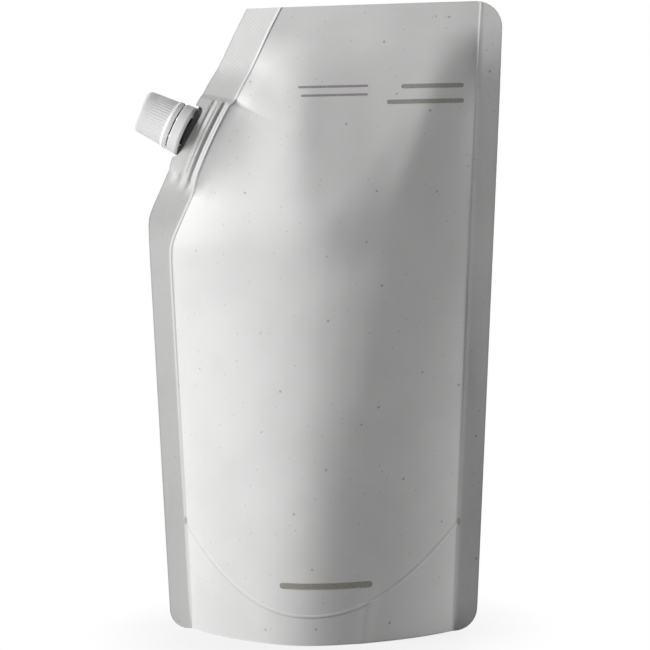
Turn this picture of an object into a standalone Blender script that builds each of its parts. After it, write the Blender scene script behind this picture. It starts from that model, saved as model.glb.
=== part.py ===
"""Spouted stand-up refill pouch: a sealed film bag on a bottom gusset, with a spout welded
into its slanted corner seal, a tamper band and a ribbed screw cap.

Metres, +Z up. The origin is the middle of the base, X runs along the width with the spout
at -X, and the front faces -Y. The spout, band and cap are modelled about their own axis:
local Z points out of the spout and is measured from the slanted edge, and local X runs up
along that edge.
"""

import math

import bmesh
import bpy
import numpy as np
from mathutils import Matrix

MM = 0.001

# Bag outline, as it stands filled
POUCH_HEIGHT = 222.0 * MM
BASE_WIDTH = 110.4 * MM
LEFT_SPREAD = 7.3 * MM
RIGHT_SPREAD = 13.0 * MM
SLANT_ANGLE = math.radians(26.2)
SPOUT_INSET = 10.2 * MM
SPOUT_DROP = 43.1 * MM
TOP_CORNER_RADIUS = 10.0 * MM
LEFT_FOOT_RADIUS = 6.5 * MM
RIGHT_FOOT_RADIUS = 7.7 * MM
SHOULDER_ROUNDING = 1.5 * MM

# Seals
SEAL_THICKNESS = 0.4 * MM
SIDE_SEAL = 7.8 * MM
SLANT_SEAL = 11.5 * MM
TOP_SEAL = 9.0 * MM

# Bulge of the filled bag
BASE_HALF_DEPTH = 27.9 * MM
DEPTH_POWER = 1.7
DEPTH_TAPER = 0.8
FACET_HEIGHT = 92.0 * MM
FLAT_SHARE_AT_TOP = 0.5

# Bottom gusset
GUSSET_HEIGHT = 39.3 * MM
SKIRT_HEIGHT = 10.2 * MM
SKIRT_POWER = 2.2
WEB_POWER = 3.2
WEB_PRESS = 1.5 * MM

# Weld base of the spout, shaped like a boat
BOAT_HALF_LENGTH = 13.5 * MM
BOAT_OVER_NECK = 0.2 * MM
BOAT_TIP_HALF = 0.45 * MM
BOAT_DEPTH = 10.3 * MM
WELD_RIBS = 3
WELD_RIB_HEIGHT = 0.25 * MM
SEAT_WALL = 0.6 * MM
SEAT_END_MARGIN = 1.4 * MM
SEAT_FADE = 45.0 * MM
NOTCH_DEPTH = 2.2 * MM
NOTCH_MARGIN = 0.85 * MM

# Neck of the spout
BORE_RADIUS = 4.2 * MM
NECK_WALL = 0.8 * MM
NECK_CHAMFER = 0.4 * MM
FLANGE_OVERHANG = 1.5 * MM
FLANGE_THICKNESS = 1.0 * MM
BEAD_HEIGHT = 1.2 * MM
BEAD_LENGTH = 0.9 * MM

# Screw thread
THREAD_PITCH = 3.0 * MM
THREAD_DEPTH = 0.75 * MM
THREAD_ROOT_WIDTH = 1.7 * MM
THREAD_CREST_WIDTH = 0.8 * MM
NECK_THREAD_TURNS = 1.75
CAP_THREAD_TURNS = 1.25
THREAD_START = 3.4 * MM

# Clearance between pieces that touch
CLEARANCE = 0.3 * MM

# Cap
CAP_LENGTH = 14.5 * MM
CAP_FOOT_WALL = 2.35 * MM
CAP_TIP_WALL = 1.4 * MM
CAP_TIP_ROUNDING = 2.0 * MM
CAP_RIM_HEIGHT = 2.2 * MM
CAP_RIM_FLARE = 0.35 * MM
CAP_FLARE_HEIGHT = 0.6 * MM
CAP_END_WALL = 1.2 * MM
CAP_RIBS = 48
CAP_RIB_DEPTH = 0.35 * MM
CAP_RIB_FADE = 0.3 * MM
PLUG_LENGTH = 2.6 * MM
PLUG_WALL = 0.8 * MM
PLUG_CHAMFER = 0.3 * MM

# Tamper band
BAND_STEP = 0.1 * MM
BAND_FLARE = 0.3 * MM
BAND_WALL = 1.3 * MM
BAND_LENGTH = 4.15 * MM
BAND_OVERHANG = 0.7 * MM
BAND_RIM_HEIGHT = 0.8 * MM
BAND_EDGE = 0.2 * MM
LIP_THICKNESS = 0.9 * MM
BRIDGES = 8
BRIDGE_WIDTH = 0.9 * MM
BRIDGE_HEIGHT = 0.2 * MM

# Facets
TURNED_STEPS = 48
HELIX_STEPS = 32
HELIX_RUN_IN = math.radians(45.0)
HELIX_END_SHARE = 0.3
SPAN_COLUMNS = 18
SEAL_COLUMNS = 5
BOAT_COLUMNS = 16
SKIRT_LEVELS = 6
SIDE_LEVELS = 18
SEAT_LEVELS = 19
SHOULDER_LEVELS = 6
LEAST_LEVEL = 0.2 * MM
WEB_COLUMNS = 9
WALL_LEVELS = 5
CUT_OVERRUN = 5.0 * MM

# Places that follow from the sizes above
SPOUT_X = SPOUT_INSET - BASE_WIDTH / 2
SPOUT_Z = POUCH_HEIGHT - SPOUT_DROP
TOP_SEAL_FOOT = POUCH_HEIGHT - TOP_SEAL
FLAT_START = POUCH_HEIGHT - FACET_HEIGHT
NECK_RADIUS = BORE_RADIUS + NECK_WALL
BOAT_HALF_THICKNESS = NECK_RADIUS + BOAT_OVER_NECK
FLANGE_RADIUS = NECK_RADIUS + FLANGE_OVERHANG
FLANGE_FOOT = CLEARANCE
FLANGE_TOP = FLANGE_FOOT + FLANGE_THICKNESS
BAND_FOOT = -BAND_OVERHANG
BOAT_TOP = BAND_FOOT - CLEARANCE
BOAT_FOOT = BOAT_TOP - BOAT_DEPTH
LIP_FOOT = FLANGE_TOP + CLEARANCE
LIP_TOP = LIP_FOOT + LIP_THICKNESS
LIP_RADIUS = NECK_RADIUS + CLEARANCE
BEAD_FOOT = LIP_TOP + CLEARANCE
BEAD_TOP = BEAD_FOOT + BEAD_LENGTH
BAND_TOP = BAND_FOOT + BAND_LENGTH
CAP_FOOT = BAND_TOP + BRIDGE_HEIGHT + CLEARANCE
CAP_TIP = CAP_FOOT + CAP_LENGTH
CAP_CEILING = CAP_TIP - CAP_END_WALL
NECK_TOP = CAP_CEILING - CLEARANCE
CAP_BORE_RADIUS = NECK_RADIUS + THREAD_DEPTH + CLEARANCE
CAP_FOOT_RADIUS = CAP_BORE_RADIUS + CAP_FOOT_WALL
CAP_TIP_RADIUS = CAP_BORE_RADIUS + CAP_TIP_WALL
CAP_RIM_RADIUS = CAP_FOOT_RADIUS + CAP_RIM_FLARE
BAND_TOP_RADIUS = CAP_RIM_RADIUS + BAND_STEP
BAND_RIM_RADIUS = BAND_TOP_RADIUS + BAND_FLARE
NOTCH_HALF_LENGTH = BAND_RIM_RADIUS + NOTCH_MARGIN

WHITE = (0.84, 0.84, 0.835, 1.0)
DARK_GREY = (0.07, 0.07, 0.072, 1.0)
FILM_GREY = (0.7, 0.7, 0.695, 1.0)


def clear_scene():
    for obj in list(bpy.data.objects):
        bpy.data.objects.remove(obj, do_unlink=True)


def new_collection(name):
    collection = bpy.data.collections.new(name)
    bpy.context.scene.collection.children.link(collection)
    return collection


def material(name, colour, roughness):
    made = bpy.data.materials.new(name)
    made.use_nodes = True
    shader = made.node_tree.nodes["Principled BSDF"]
    shader.inputs["Base Color"].default_value = colour
    shader.inputs["Roughness"].default_value = roughness
    shader.inputs["Metallic"].default_value = 0.0
    return made


def mesh_object(name, mesh, collection):
    obj = bpy.data.objects.new(name, mesh)
    collection.objects.link(obj)
    return obj


def as_cutter(obj):
    obj.hide_render = True
    obj.display_type = "WIRE"
    return obj


def boolean(obj, other, operation):
    modifier = obj.modifiers.new(other.name, "BOOLEAN")
    modifier.operation = operation
    modifier.object = other
    modifier.solver = "EXACT"


def face_outwards(mesh):
    shape = bmesh.new()
    shape.from_mesh(mesh)
    bmesh.ops.recalc_face_normals(shape, faces=shape.faces)
    shape.to_mesh(mesh)
    shape.free()


def lofted(name, rings, collection):
    """One closed solid through a stack of closed rings with the same number of points."""
    rings = np.asarray(rings, dtype=float)
    count, around = rings.shape[:2]
    start = np.arange(count - 1)[:, None] * around
    here = np.arange(around)[None, :]
    after = (here + 1) % around
    sides = np.stack([start + here, start + after, start + after + around, start + here + around], 2)
    faces = [tuple(face) for face in sides.reshape(-1, 4)]
    faces.append(tuple(range(around)))
    faces.append(tuple(range((count - 1) * around, count * around)))
    mesh = bpy.data.meshes.new(name)
    mesh.from_pydata([tuple(point) for point in rings.reshape(-1, 3)], [], faces)
    face_outwards(mesh)
    return mesh_object(name, mesh, collection)


def turned(name, profile, steps, collection, closed=False):
    """A solid of revolution about Z, from a profile of (radius, height) points."""
    mesh = bpy.data.meshes.new(name)
    edges = [(i, i + 1) for i in range(len(profile) - 1)]
    if closed:
        edges.append((len(profile) - 1, 0))
    mesh.from_pydata([(radius, 0.0, height) for radius, height in profile], edges, [])
    obj = mesh_object(name, mesh, collection)
    screw = obj.modifiers.new("turn", "SCREW")
    screw.axis = "Z"
    screw.steps = steps
    screw.render_steps = steps
    screw.use_merge_vertices = True
    screw.merge_threshold = 0.00001
    graph = bpy.context.evaluated_depsgraph_get()
    solid = bpy.data.meshes.new_from_object(obj.evaluated_get(graph))
    face_outwards(solid)
    obj.modifiers.clear()
    obj.data = solid
    bpy.data.meshes.remove(mesh)
    return obj


def helical_ridge(name, root, crest, start, turns, collection):
    """A thread ridge from the root radius to the crest radius, climbing with the right hand.

    Its ring is a trapezium in the plane of the axis, and its height fades at both ends.
    """
    steps = round(turns * HELIX_STEPS)
    angle = np.linspace(0.0, turns * 2.0 * math.pi, steps + 1)
    height = start + THREAD_PITCH * angle / (2.0 * math.pi)
    fade = np.clip(np.minimum(angle, angle[-1] - angle) / HELIX_RUN_IN, HELIX_END_SHARE, 1.0)
    reach = root + (crest - root) * fade
    rings = []
    for turn, rise, radius in zip(angle, height, reach):
        corners = [
            (root, rise - THREAD_ROOT_WIDTH / 2),
            (radius, rise - THREAD_CREST_WIDTH / 2),
            (radius, rise + THREAD_CREST_WIDTH / 2),
            (root, rise + THREAD_ROOT_WIDTH / 2),
        ]
        rings.append([(r * math.cos(turn), r * math.sin(turn), z) for r, z in corners])
    return lofted(name, rings, collection)


def smooth_max(a, b, rounding):
    return 0.5 * (a + b + np.sqrt((a - b) ** 2 + rounding**2))


def corner_inset(distance, radius):
    """How far a rounded corner draws the edge in, at a distance from the end of the edge."""
    short = np.clip(radius - distance, 0.0, radius)
    return radius - np.sqrt(radius**2 - short**2)


def left_edge(z):
    return -BASE_WIDTH / 2 - LEFT_SPREAD * z / POUCH_HEIGHT


def right_edge(z):
    return BASE_WIDTH / 2 + RIGHT_SPREAD * z / POUCH_HEIGHT


def slanted_edge(z, inset):
    return SPOUT_X + (z - SPOUT_Z) * math.tan(SLANT_ANGLE) + inset / math.cos(SLANT_ANGLE)


def band_notch(z):
    """How far the slanted edge is set back for the tamper band, by height."""
    along = (z - SPOUT_Z) / math.cos(SLANT_ANGLE)
    share = np.clip(np.abs(along) / NOTCH_HALF_LENGTH, 0.0, 1.0)
    return NOTCH_DEPTH * np.sqrt(1.0 - share**6) / math.cos(SLANT_ANGLE)


def outer_left(z):
    edge = smooth_max(left_edge(z), slanted_edge(z, 0.0), SHOULDER_ROUNDING)
    return edge + corner_inset(z, LEFT_FOOT_RADIUS) + band_notch(z)


def outer_right(z):
    top = corner_inset(POUCH_HEIGHT - z, TOP_CORNER_RADIUS)
    return right_edge(z) - top - corner_inset(z, RIGHT_FOOT_RADIUS)


def inner_left(z):
    seal = smooth_max(left_edge(z) + SIDE_SEAL, slanted_edge(z, SLANT_SEAL), SHOULDER_ROUNDING)
    return np.maximum(seal, outer_left(z) + SEAL_THICKNESS)


def inner_right(z):
    return np.minimum(right_edge(z) - SIDE_SEAL, outer_right(z) - SEAL_THICKNESS)


def half_depth(z):
    """Half the bag's depth at the middle of a level: a wedge that swells towards the base."""
    share = np.clip(z / TOP_SEAL_FOOT, 0.0, 1.0)
    return BASE_HALF_DEPTH * (1.0 - share**DEPTH_POWER) ** DEPTH_TAPER


def flat_share(z):
    """Share of the level that stays flat in the middle: none low down, most at the top."""
    rise = np.clip((z - FLAT_START) / (TOP_SEAL_FOOT - FLAT_START), 0.0, 1.0)
    return FLAT_SHARE_AT_TOP * rise * rise * (3.0 - 2.0 * rise)


def bulge(x, z):
    """Height of the filled film over the seal plane: a flat middle and an arc each side."""
    left = inner_left(z)
    right = inner_right(z)
    across = np.abs(2.0 * x - left - right) / (right - left)
    flat = flat_share(z)
    depth = half_depth(z)
    arc_chord = (1.0 - flat) * (right - left) / 2
    arc = 2.0 * np.arctan2(depth, arc_chord)
    part = np.clip((across - flat) / (1.0 - flat), 0.0, 1.0)
    drop = 1.0 - np.cos(arc)
    raised = np.sqrt(1.0 - (part * np.sin(arc)) ** 2) - np.cos(arc)
    return np.where(drop > 0.0, depth * raised / np.maximum(drop, 1e-12), 0.0)


def boat_outline(s, extra_length, extra_half):
    """Half thickness of the weld base at s along the seal, grown by a gap or a wall."""
    half_length = BOAT_HALF_LENGTH + extra_length
    crown = BOAT_HALF_THICKNESS - BOAT_TIP_HALF
    share = np.clip(1.0 - (s / half_length) ** 2, 0.0, 1.0)
    return np.where(np.abs(s) <= half_length, BOAT_TIP_HALF + extra_half + crown * share, 0.0)


def seat(x, z):
    """Height of the film over the weld base, fading out inside the bag."""
    dx = x - SPOUT_X
    dz = z - SPOUT_Z
    along = dx * math.sin(SLANT_ANGLE) + dz * math.cos(SLANT_ANGLE)
    inwards = dx * math.cos(SLANT_ANGLE) - dz * math.sin(SLANT_ANGLE)
    past = (inwards - SLANT_SEAL) / SEAT_FADE
    fade = 0.5 + 0.5 * np.cos(math.pi * np.clip(past, 0.0, 1.0))
    return fade * boat_outline(along, CLEARANCE + SEAT_END_MARGIN, CLEARANCE + SEAT_WALL)


def film_height(x, z):
    """Height of the outer film surface over the seal plane, seals included."""
    inside = (bulge(x, z) ** 4 + seat(x, z) ** 4) ** 0.25
    return inside + SEAL_THICKNESS / 2


def level_heights():
    """Heights of the bag's levels: closer at the rounded corners and over the weld base."""
    quarter = 1.0 - np.cos(np.radians([0.0, 22.5, 45.0, 67.5, 90.0]))
    foot = RIGHT_FOOT_RADIUS * quarter
    seat_foot = SPOUT_Z - (BOAT_HALF_LENGTH + SLANT_SEAL) * math.cos(SLANT_ANGLE)
    seat_top = SPOUT_Z + (BOAT_HALF_LENGTH + SEAT_END_MARGIN) * math.cos(SLANT_ANGLE)
    skirt = np.linspace(foot[-1], GUSSET_HEIGHT, SKIRT_LEVELS)
    side = np.linspace(GUSSET_HEIGHT, seat_foot, SIDE_LEVELS)
    over_seat = np.linspace(seat_foot, seat_top, SEAT_LEVELS)
    shoulder = np.linspace(seat_top, TOP_SEAL_FOOT, SHOULDER_LEVELS)
    crown = POUCH_HEIGHT - TOP_CORNER_RADIUS * quarter
    levels = np.sort(np.concatenate([foot, skirt, side, over_seat, shoulder, crown]))
    clear = np.diff(levels) > LEAST_LEVEL
    return np.concatenate([levels[:-1][clear], [POUCH_HEIGHT]])


def level_columns(z):
    """Places across one level: the left seal, the span between the seals, the right seal."""
    left = inner_left(z)
    right = inner_right(z)
    middle = (left + right) / 2
    seal = np.linspace(outer_left(z), left, SEAL_COLUMNS + 1)
    turn = np.linspace(0.0, math.pi, SPAN_COLUMNS + 1)
    span = middle - (right - left) / 2 * np.cos(turn)
    return np.concatenate([seal[:-1], span, [outer_right(z)]])


def make_bag(parts):
    rings = []
    for z in level_heights():
        x = level_columns(z)
        y = film_height(x, np.full_like(x, z))
        level = np.full_like(x, z)
        front = np.stack([x, -y, level], 1)
        back = np.stack([x, y, level], 1)[::-1]
        rings.append(np.concatenate([front, back]))
    return lofted("pouch", rings, parts)


def span_place(u, z):
    """The place at level z that lies at u between the side seals, from -1 to 1."""
    return (inner_left(z) + inner_right(z)) / 2 + u * (inner_right(z) - inner_left(z)) / 2


def skirt_top(u):
    """Height of the gusset's seal line on the front and back films."""
    return SKIRT_HEIGHT + (GUSSET_HEIGHT - SKIRT_HEIGHT) * abs(u) ** SKIRT_POWER


def web_ridge(u):
    """Height of the gusset's web along its middle: pressed on the floor, rising to the ends."""
    return -WEB_PRESS + (GUSSET_HEIGHT + WEB_PRESS) * abs(u) ** WEB_POWER


def under_gusset_ring(u):
    """One slice of the open space: up inside the front skirt, over the web and down again."""
    top = skirt_top(u)
    ridge = web_ridge(u)
    z = np.linspace(0.0, top, WALL_LEVELS)
    x = span_place(u, z)
    y = film_height(x, z) - SEAL_THICKNESS
    x = np.concatenate([x[:1], x])
    y = np.concatenate([y[:1], y])
    z = np.concatenate([[-CUT_OVERRUN], z])
    share = np.linspace(-1.0, 1.0, WEB_COLUMNS)[1:-1]
    front = np.stack([x, -y, z], 1)
    web = np.stack([np.full_like(share, x[-1]), y[-1] * share, ridge + (top - ridge) * share**2], 1)
    back = np.stack([x, y, z], 1)[::-1]
    return np.concatenate([front, web, back])


def make_under_gusset(cutters):
    """The open space below the gusset's web, between the front and back skirts."""
    turn = np.linspace(0.0, math.pi, SPAN_COLUMNS + 1)[1:-1]
    rings = [under_gusset_ring(u) for u in -np.cos(turn)]
    return as_cutter(lofted("under_gusset", rings, cutters))


def boat_ring(height, extra_length, extra_half, swell):
    half_length = BOAT_HALF_LENGTH + extra_length
    s = half_length * np.sin(np.linspace(-math.pi / 2, math.pi / 2, BOAT_COLUMNS + 1))
    s[0] = -half_length
    s[-1] = half_length
    y = boat_outline(s, extra_length, extra_half) + swell
    level = np.full_like(s, height)
    front = np.stack([s, -y, level], 1)
    back = np.stack([s, y, level], 1)[::-1]
    return np.concatenate([front, back])


def make_boat(cutters):
    """The weld base: full thickness on its ribs, and a rib's height less between them."""
    pitch = BOAT_DEPTH / (2 * WELD_RIBS + 1)
    slope = WELD_RIB_HEIGHT / 2
    rings = []
    for step in range(2 * WELD_RIBS + 1):
        swell = 0.0 if step % 2 else -WELD_RIB_HEIGHT
        foot = BOAT_FOOT + step * pitch
        rings.append(boat_ring(foot + slope * (step > 0), 0.0, 0.0, swell))
        rings.append(boat_ring(foot + pitch - slope * (step < 2 * WELD_RIBS), 0.0, 0.0, swell))
    return as_cutter(lofted("weld_base", rings, cutters))


def make_seat_hollow(cutters, axis):
    """The space in the slanted seal that the weld base sits in, open at the edge."""
    heights = (BOAT_FOOT - CLEARANCE, CUT_OVERRUN)
    rings = [boat_ring(z, CLEARANCE, CLEARANCE, 0.0) for z in heights]
    hollow = as_cutter(lofted("seat_hollow", rings, cutters))
    hollow.parent = axis
    return hollow


def make_spout(parts, cutters, axis):
    profile = [
        (0.0, NECK_TOP),
        (NECK_RADIUS - NECK_CHAMFER, NECK_TOP),
        (NECK_RADIUS, NECK_TOP - NECK_CHAMFER),
        (NECK_RADIUS, BEAD_TOP + BEAD_HEIGHT / 2),
        (NECK_RADIUS + BEAD_HEIGHT, BEAD_TOP - BEAD_LENGTH / 2),
        (NECK_RADIUS + BEAD_HEIGHT, BEAD_FOOT),
        (NECK_RADIUS, BEAD_FOOT),
        (NECK_RADIUS, FLANGE_TOP),
        (FLANGE_RADIUS, FLANGE_TOP),
        (FLANGE_RADIUS, FLANGE_FOOT),
        (NECK_RADIUS, FLANGE_FOOT),
        (NECK_RADIUS, BOAT_TOP - BOAT_DEPTH / 2),
        (0.0, BOAT_TOP - BOAT_DEPTH / 2),
    ]
    spout = turned("spout", profile, TURNED_STEPS, parts)
    spout.parent = axis
    boat = make_boat(cutters)
    boat.parent = axis
    thread = helical_ridge(
        "neck_thread",
        NECK_RADIUS - CLEARANCE,
        NECK_RADIUS + THREAD_DEPTH,
        CAP_FOOT + THREAD_START,
        NECK_THREAD_TURNS,
        cutters,
    )
    as_cutter(thread).parent = axis
    bpy.ops.mesh.primitive_cylinder_add(
        vertices=TURNED_STEPS, radius=BORE_RADIUS, depth=NECK_TOP - BOAT_FOOT + 2 * CUT_OVERRUN
    )
    bore = bpy.context.object
    bore.name = "bore"
    bore.location = (0.0, 0.0, (NECK_TOP + BOAT_FOOT) / 2)
    bore.users_collection[0].objects.unlink(bore)
    cutters.objects.link(bore)
    as_cutter(bore).parent = axis
    boolean(spout, boat, "UNION")
    boolean(spout, thread, "UNION")
    boolean(spout, bore, "DIFFERENCE")
    return spout


def make_band(parts, cutters, axis):
    """The tamper band: a ring whose lip sits between the flange and the bead."""
    rim_inner = BAND_RIM_RADIUS - BAND_WALL
    top_inner = BAND_TOP_RADIUS - BAND_WALL
    profile = [
        (BAND_TOP_RADIUS, BAND_TOP),
        (BAND_RIM_RADIUS, BAND_FOOT + BAND_RIM_HEIGHT),
        (BAND_RIM_RADIUS - BAND_EDGE, BAND_FOOT),
        (rim_inner, BAND_FOOT),
        (rim_inner, LIP_FOOT),
        (LIP_RADIUS + BAND_EDGE, LIP_FOOT),
        (LIP_RADIUS, LIP_TOP),
        (top_inner, LIP_TOP),
        (top_inner, BAND_TOP),
    ]
    band = turned("tamper_band", profile, TURNED_STEPS, parts, closed=True)
    band.parent = axis
    radius = BAND_TOP_RADIUS - BAND_WALL / 2
    foot = BAND_TOP - BRIDGE_HEIGHT
    mesh = bpy.data.meshes.new("bridges")
    shape = bmesh.new()
    for index in range(BRIDGES):
        made = bmesh.ops.create_cube(shape, size=1.0)["verts"]
        bmesh.ops.scale(shape, vec=(BAND_WALL / 2, BRIDGE_WIDTH, 2 * BRIDGE_HEIGHT), verts=made)
        bmesh.ops.translate(shape, vec=(radius, 0.0, foot + BRIDGE_HEIGHT), verts=made)
        turn = Matrix.Rotation(2.0 * math.pi * (index + 0.5) / BRIDGES, 3, "Z")
        bmesh.ops.rotate(shape, matrix=turn, verts=made)
    shape.to_mesh(mesh)
    shape.free()
    bridges = as_cutter(mesh_object("bridges", mesh, cutters))
    bridges.parent = axis
    boolean(band, bridges, "UNION")
    return band


def cap_outside(height):
    """Radius of the ribbed barrel at a height: it tapers from the rim to the tip."""
    share = (height - CAP_FOOT - CAP_RIM_HEIGHT) / (CAP_LENGTH - CAP_RIM_HEIGHT)
    return CAP_FOOT_RADIUS + (CAP_TIP_RADIUS - CAP_FOOT_RADIUS) * share


def make_cap(parts, cutters, axis):
    rib_foot = CAP_FOOT + CAP_RIM_HEIGHT
    rib_top = CAP_TIP - CAP_TIP_ROUNDING
    turn = np.linspace(math.pi / 2, 0.0, 5)
    shoulder = [
        (
            cap_outside(rib_top) - CAP_TIP_ROUNDING * (1.0 - math.cos(a)),
            rib_top + CAP_TIP_ROUNDING * math.sin(a),
        )
        for a in turn
    ]
    rib_low = rib_foot + CAP_RIB_FADE
    rib_high = rib_top - CAP_RIB_FADE
    plug_radius = BORE_RADIUS - CLEARANCE
    plug_foot = NECK_TOP - PLUG_LENGTH
    outside = [(0.0, CAP_TIP)] + shoulder
    outside += [
        (cap_outside(rib_high), rib_high),
        (cap_outside(rib_low), rib_low),
        (CAP_FOOT_RADIUS, rib_foot),
        (CAP_RIM_RADIUS, rib_foot - CAP_FLARE_HEIGHT),
        (CAP_RIM_RADIUS, CAP_FOOT),
    ]
    inside = [
        (CAP_BORE_RADIUS, CAP_FOOT),
        (CAP_BORE_RADIUS, CAP_CEILING),
        (plug_radius, CAP_CEILING),
        (plug_radius, plug_foot + PLUG_CHAMFER),
        (plug_radius - PLUG_CHAMFER, plug_foot),
        (plug_radius - PLUG_WALL, plug_foot),
        (plug_radius - PLUG_WALL, CAP_CEILING),
        (0.0, CAP_CEILING),
    ]
    cap = turned("cap", outside + inside, 2 * CAP_RIBS, parts)
    cap.parent = axis
    cut_ribs(cap.data, (rib_foot + rib_low) / 2, (rib_high + rib_top) / 2)
    thread = helical_ridge(
        "cap_thread",
        CAP_BORE_RADIUS + CLEARANCE,
        CAP_BORE_RADIUS - THREAD_DEPTH,
        CAP_FOOT + THREAD_START - THREAD_PITCH / 2,
        CAP_THREAD_TURNS,
        cutters,
    )
    as_cutter(thread).parent = axis
    boolean(cap, thread, "UNION")
    return cap


def cut_ribs(mesh, low, high):
    """Draws every second line of the barrel in, so that ribs stand between the grooves."""
    for vertex in mesh.vertices:
        x, y, z = vertex.co
        radius = math.hypot(x, y)
        if low < z < high and radius > CAP_BORE_RADIUS + CLEARANCE:
            line = round(math.atan2(y, x) / (math.pi / CAP_RIBS))
            if line % 2:
                scale = 1.0 - CAP_RIB_DEPTH / radius
                vertex.co = (x * scale, y * scale, z)


def spout_axis(parts):
    """The empty that carries the spout, band and cap, with Z along the cap's joints."""
    axis = bpy.data.objects.new("spout_axis", None)
    parts.objects.link(axis)
    axis.location = (SPOUT_X, 0.0, SPOUT_Z)
    axis.rotation_euler = (0.0, SLANT_ANGLE - math.pi / 2, 0.0)
    return axis


def main():
    clear_scene()
    parts = new_collection("refill_pouch")
    cutters = new_collection("cutters")
    axis = spout_axis(parts)
    pouch = make_bag(parts)
    boolean(pouch, make_under_gusset(cutters), "DIFFERENCE")
    boolean(pouch, make_seat_hollow(cutters, axis), "DIFFERENCE")
    spout = make_spout(parts, cutters, axis)
    band = make_band(parts, cutters, axis)
    cap = make_cap(parts, cutters, axis)
    pouch.data.materials.append(material("pouch_film", FILM_GREY, 0.4))
    spout.data.materials.append(material("spout_plastic", DARK_GREY, 0.45))
    band.data.materials.append(material("band_plastic", WHITE, 0.4))
    cap.data.materials.append(material("cap_plastic", WHITE, 0.4))
    for turned_part in (spout, band, cap):
        turned_part.data.shade_smooth()
        turned_part.data.set_sharp_from_angle(angle=math.radians(30.0))
    pouch.data.shade_smooth()
    pouch.data.set_sharp_from_angle(angle=math.radians(45.0))


if __name__ == "__main__":
    main()
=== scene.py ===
"""Looks for a filled, spouted refill pouch that stands on its bottom gusset.

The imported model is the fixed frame. Fine surfaces for the film bag, the spout, the tamper
band and the cap stand for its solids, and are worked out as whole grids of two
parameters. Lengths are metres: the origin is the middle of the base, X runs along the width
with the spout at -X, and the front faces -Y.
"""

import math

import bmesh
import bpy
import numpy as np
from bpy.props import FloatProperty, FloatVectorProperty, IntProperty, PointerProperty
from mathutils import Matrix, Vector


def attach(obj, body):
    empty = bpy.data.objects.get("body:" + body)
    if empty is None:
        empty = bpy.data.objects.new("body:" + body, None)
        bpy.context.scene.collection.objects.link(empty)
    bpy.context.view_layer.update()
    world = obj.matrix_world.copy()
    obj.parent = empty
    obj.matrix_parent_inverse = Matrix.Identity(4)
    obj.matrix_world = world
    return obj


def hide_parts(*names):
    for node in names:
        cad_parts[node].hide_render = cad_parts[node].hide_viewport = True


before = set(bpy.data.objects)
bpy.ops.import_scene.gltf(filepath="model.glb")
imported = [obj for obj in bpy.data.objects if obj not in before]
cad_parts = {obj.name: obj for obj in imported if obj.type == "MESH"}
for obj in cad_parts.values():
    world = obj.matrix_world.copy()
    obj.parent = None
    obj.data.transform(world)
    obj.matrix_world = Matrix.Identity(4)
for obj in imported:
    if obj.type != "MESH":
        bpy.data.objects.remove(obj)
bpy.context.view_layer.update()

bl_info = {
    "name": "Spouted refill pouch",
    "version": (1, 0, 0),
    "blender": (4, 5, 0),
    "location": "3D View > Sidebar > Refill pouch",
    "description": "Builds the film, spout, band, cap, marks and studio of a refill pouch",
    "category": "Object",
}

MM = 0.001
IMAGE_PIXELS = 650


def length(label, note, millimetres):
    return FloatProperty(
        name=label, description=note, default=millimetres * MM, precision=5, unit="LENGTH"
    )


def number(label, note, value):
    return FloatProperty(name=label, description=note, default=value, precision=4)


def angle(label, note, degrees):
    return FloatProperty(
        name=label, description=note, default=math.radians(degrees), precision=4, unit="ROTATION"
    )


def colour(label, note, value):
    return FloatVectorProperty(
        name=label, description=note, default=value, size=3, subtype="COLOR", min=0.0, max=1.0
    )


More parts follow.
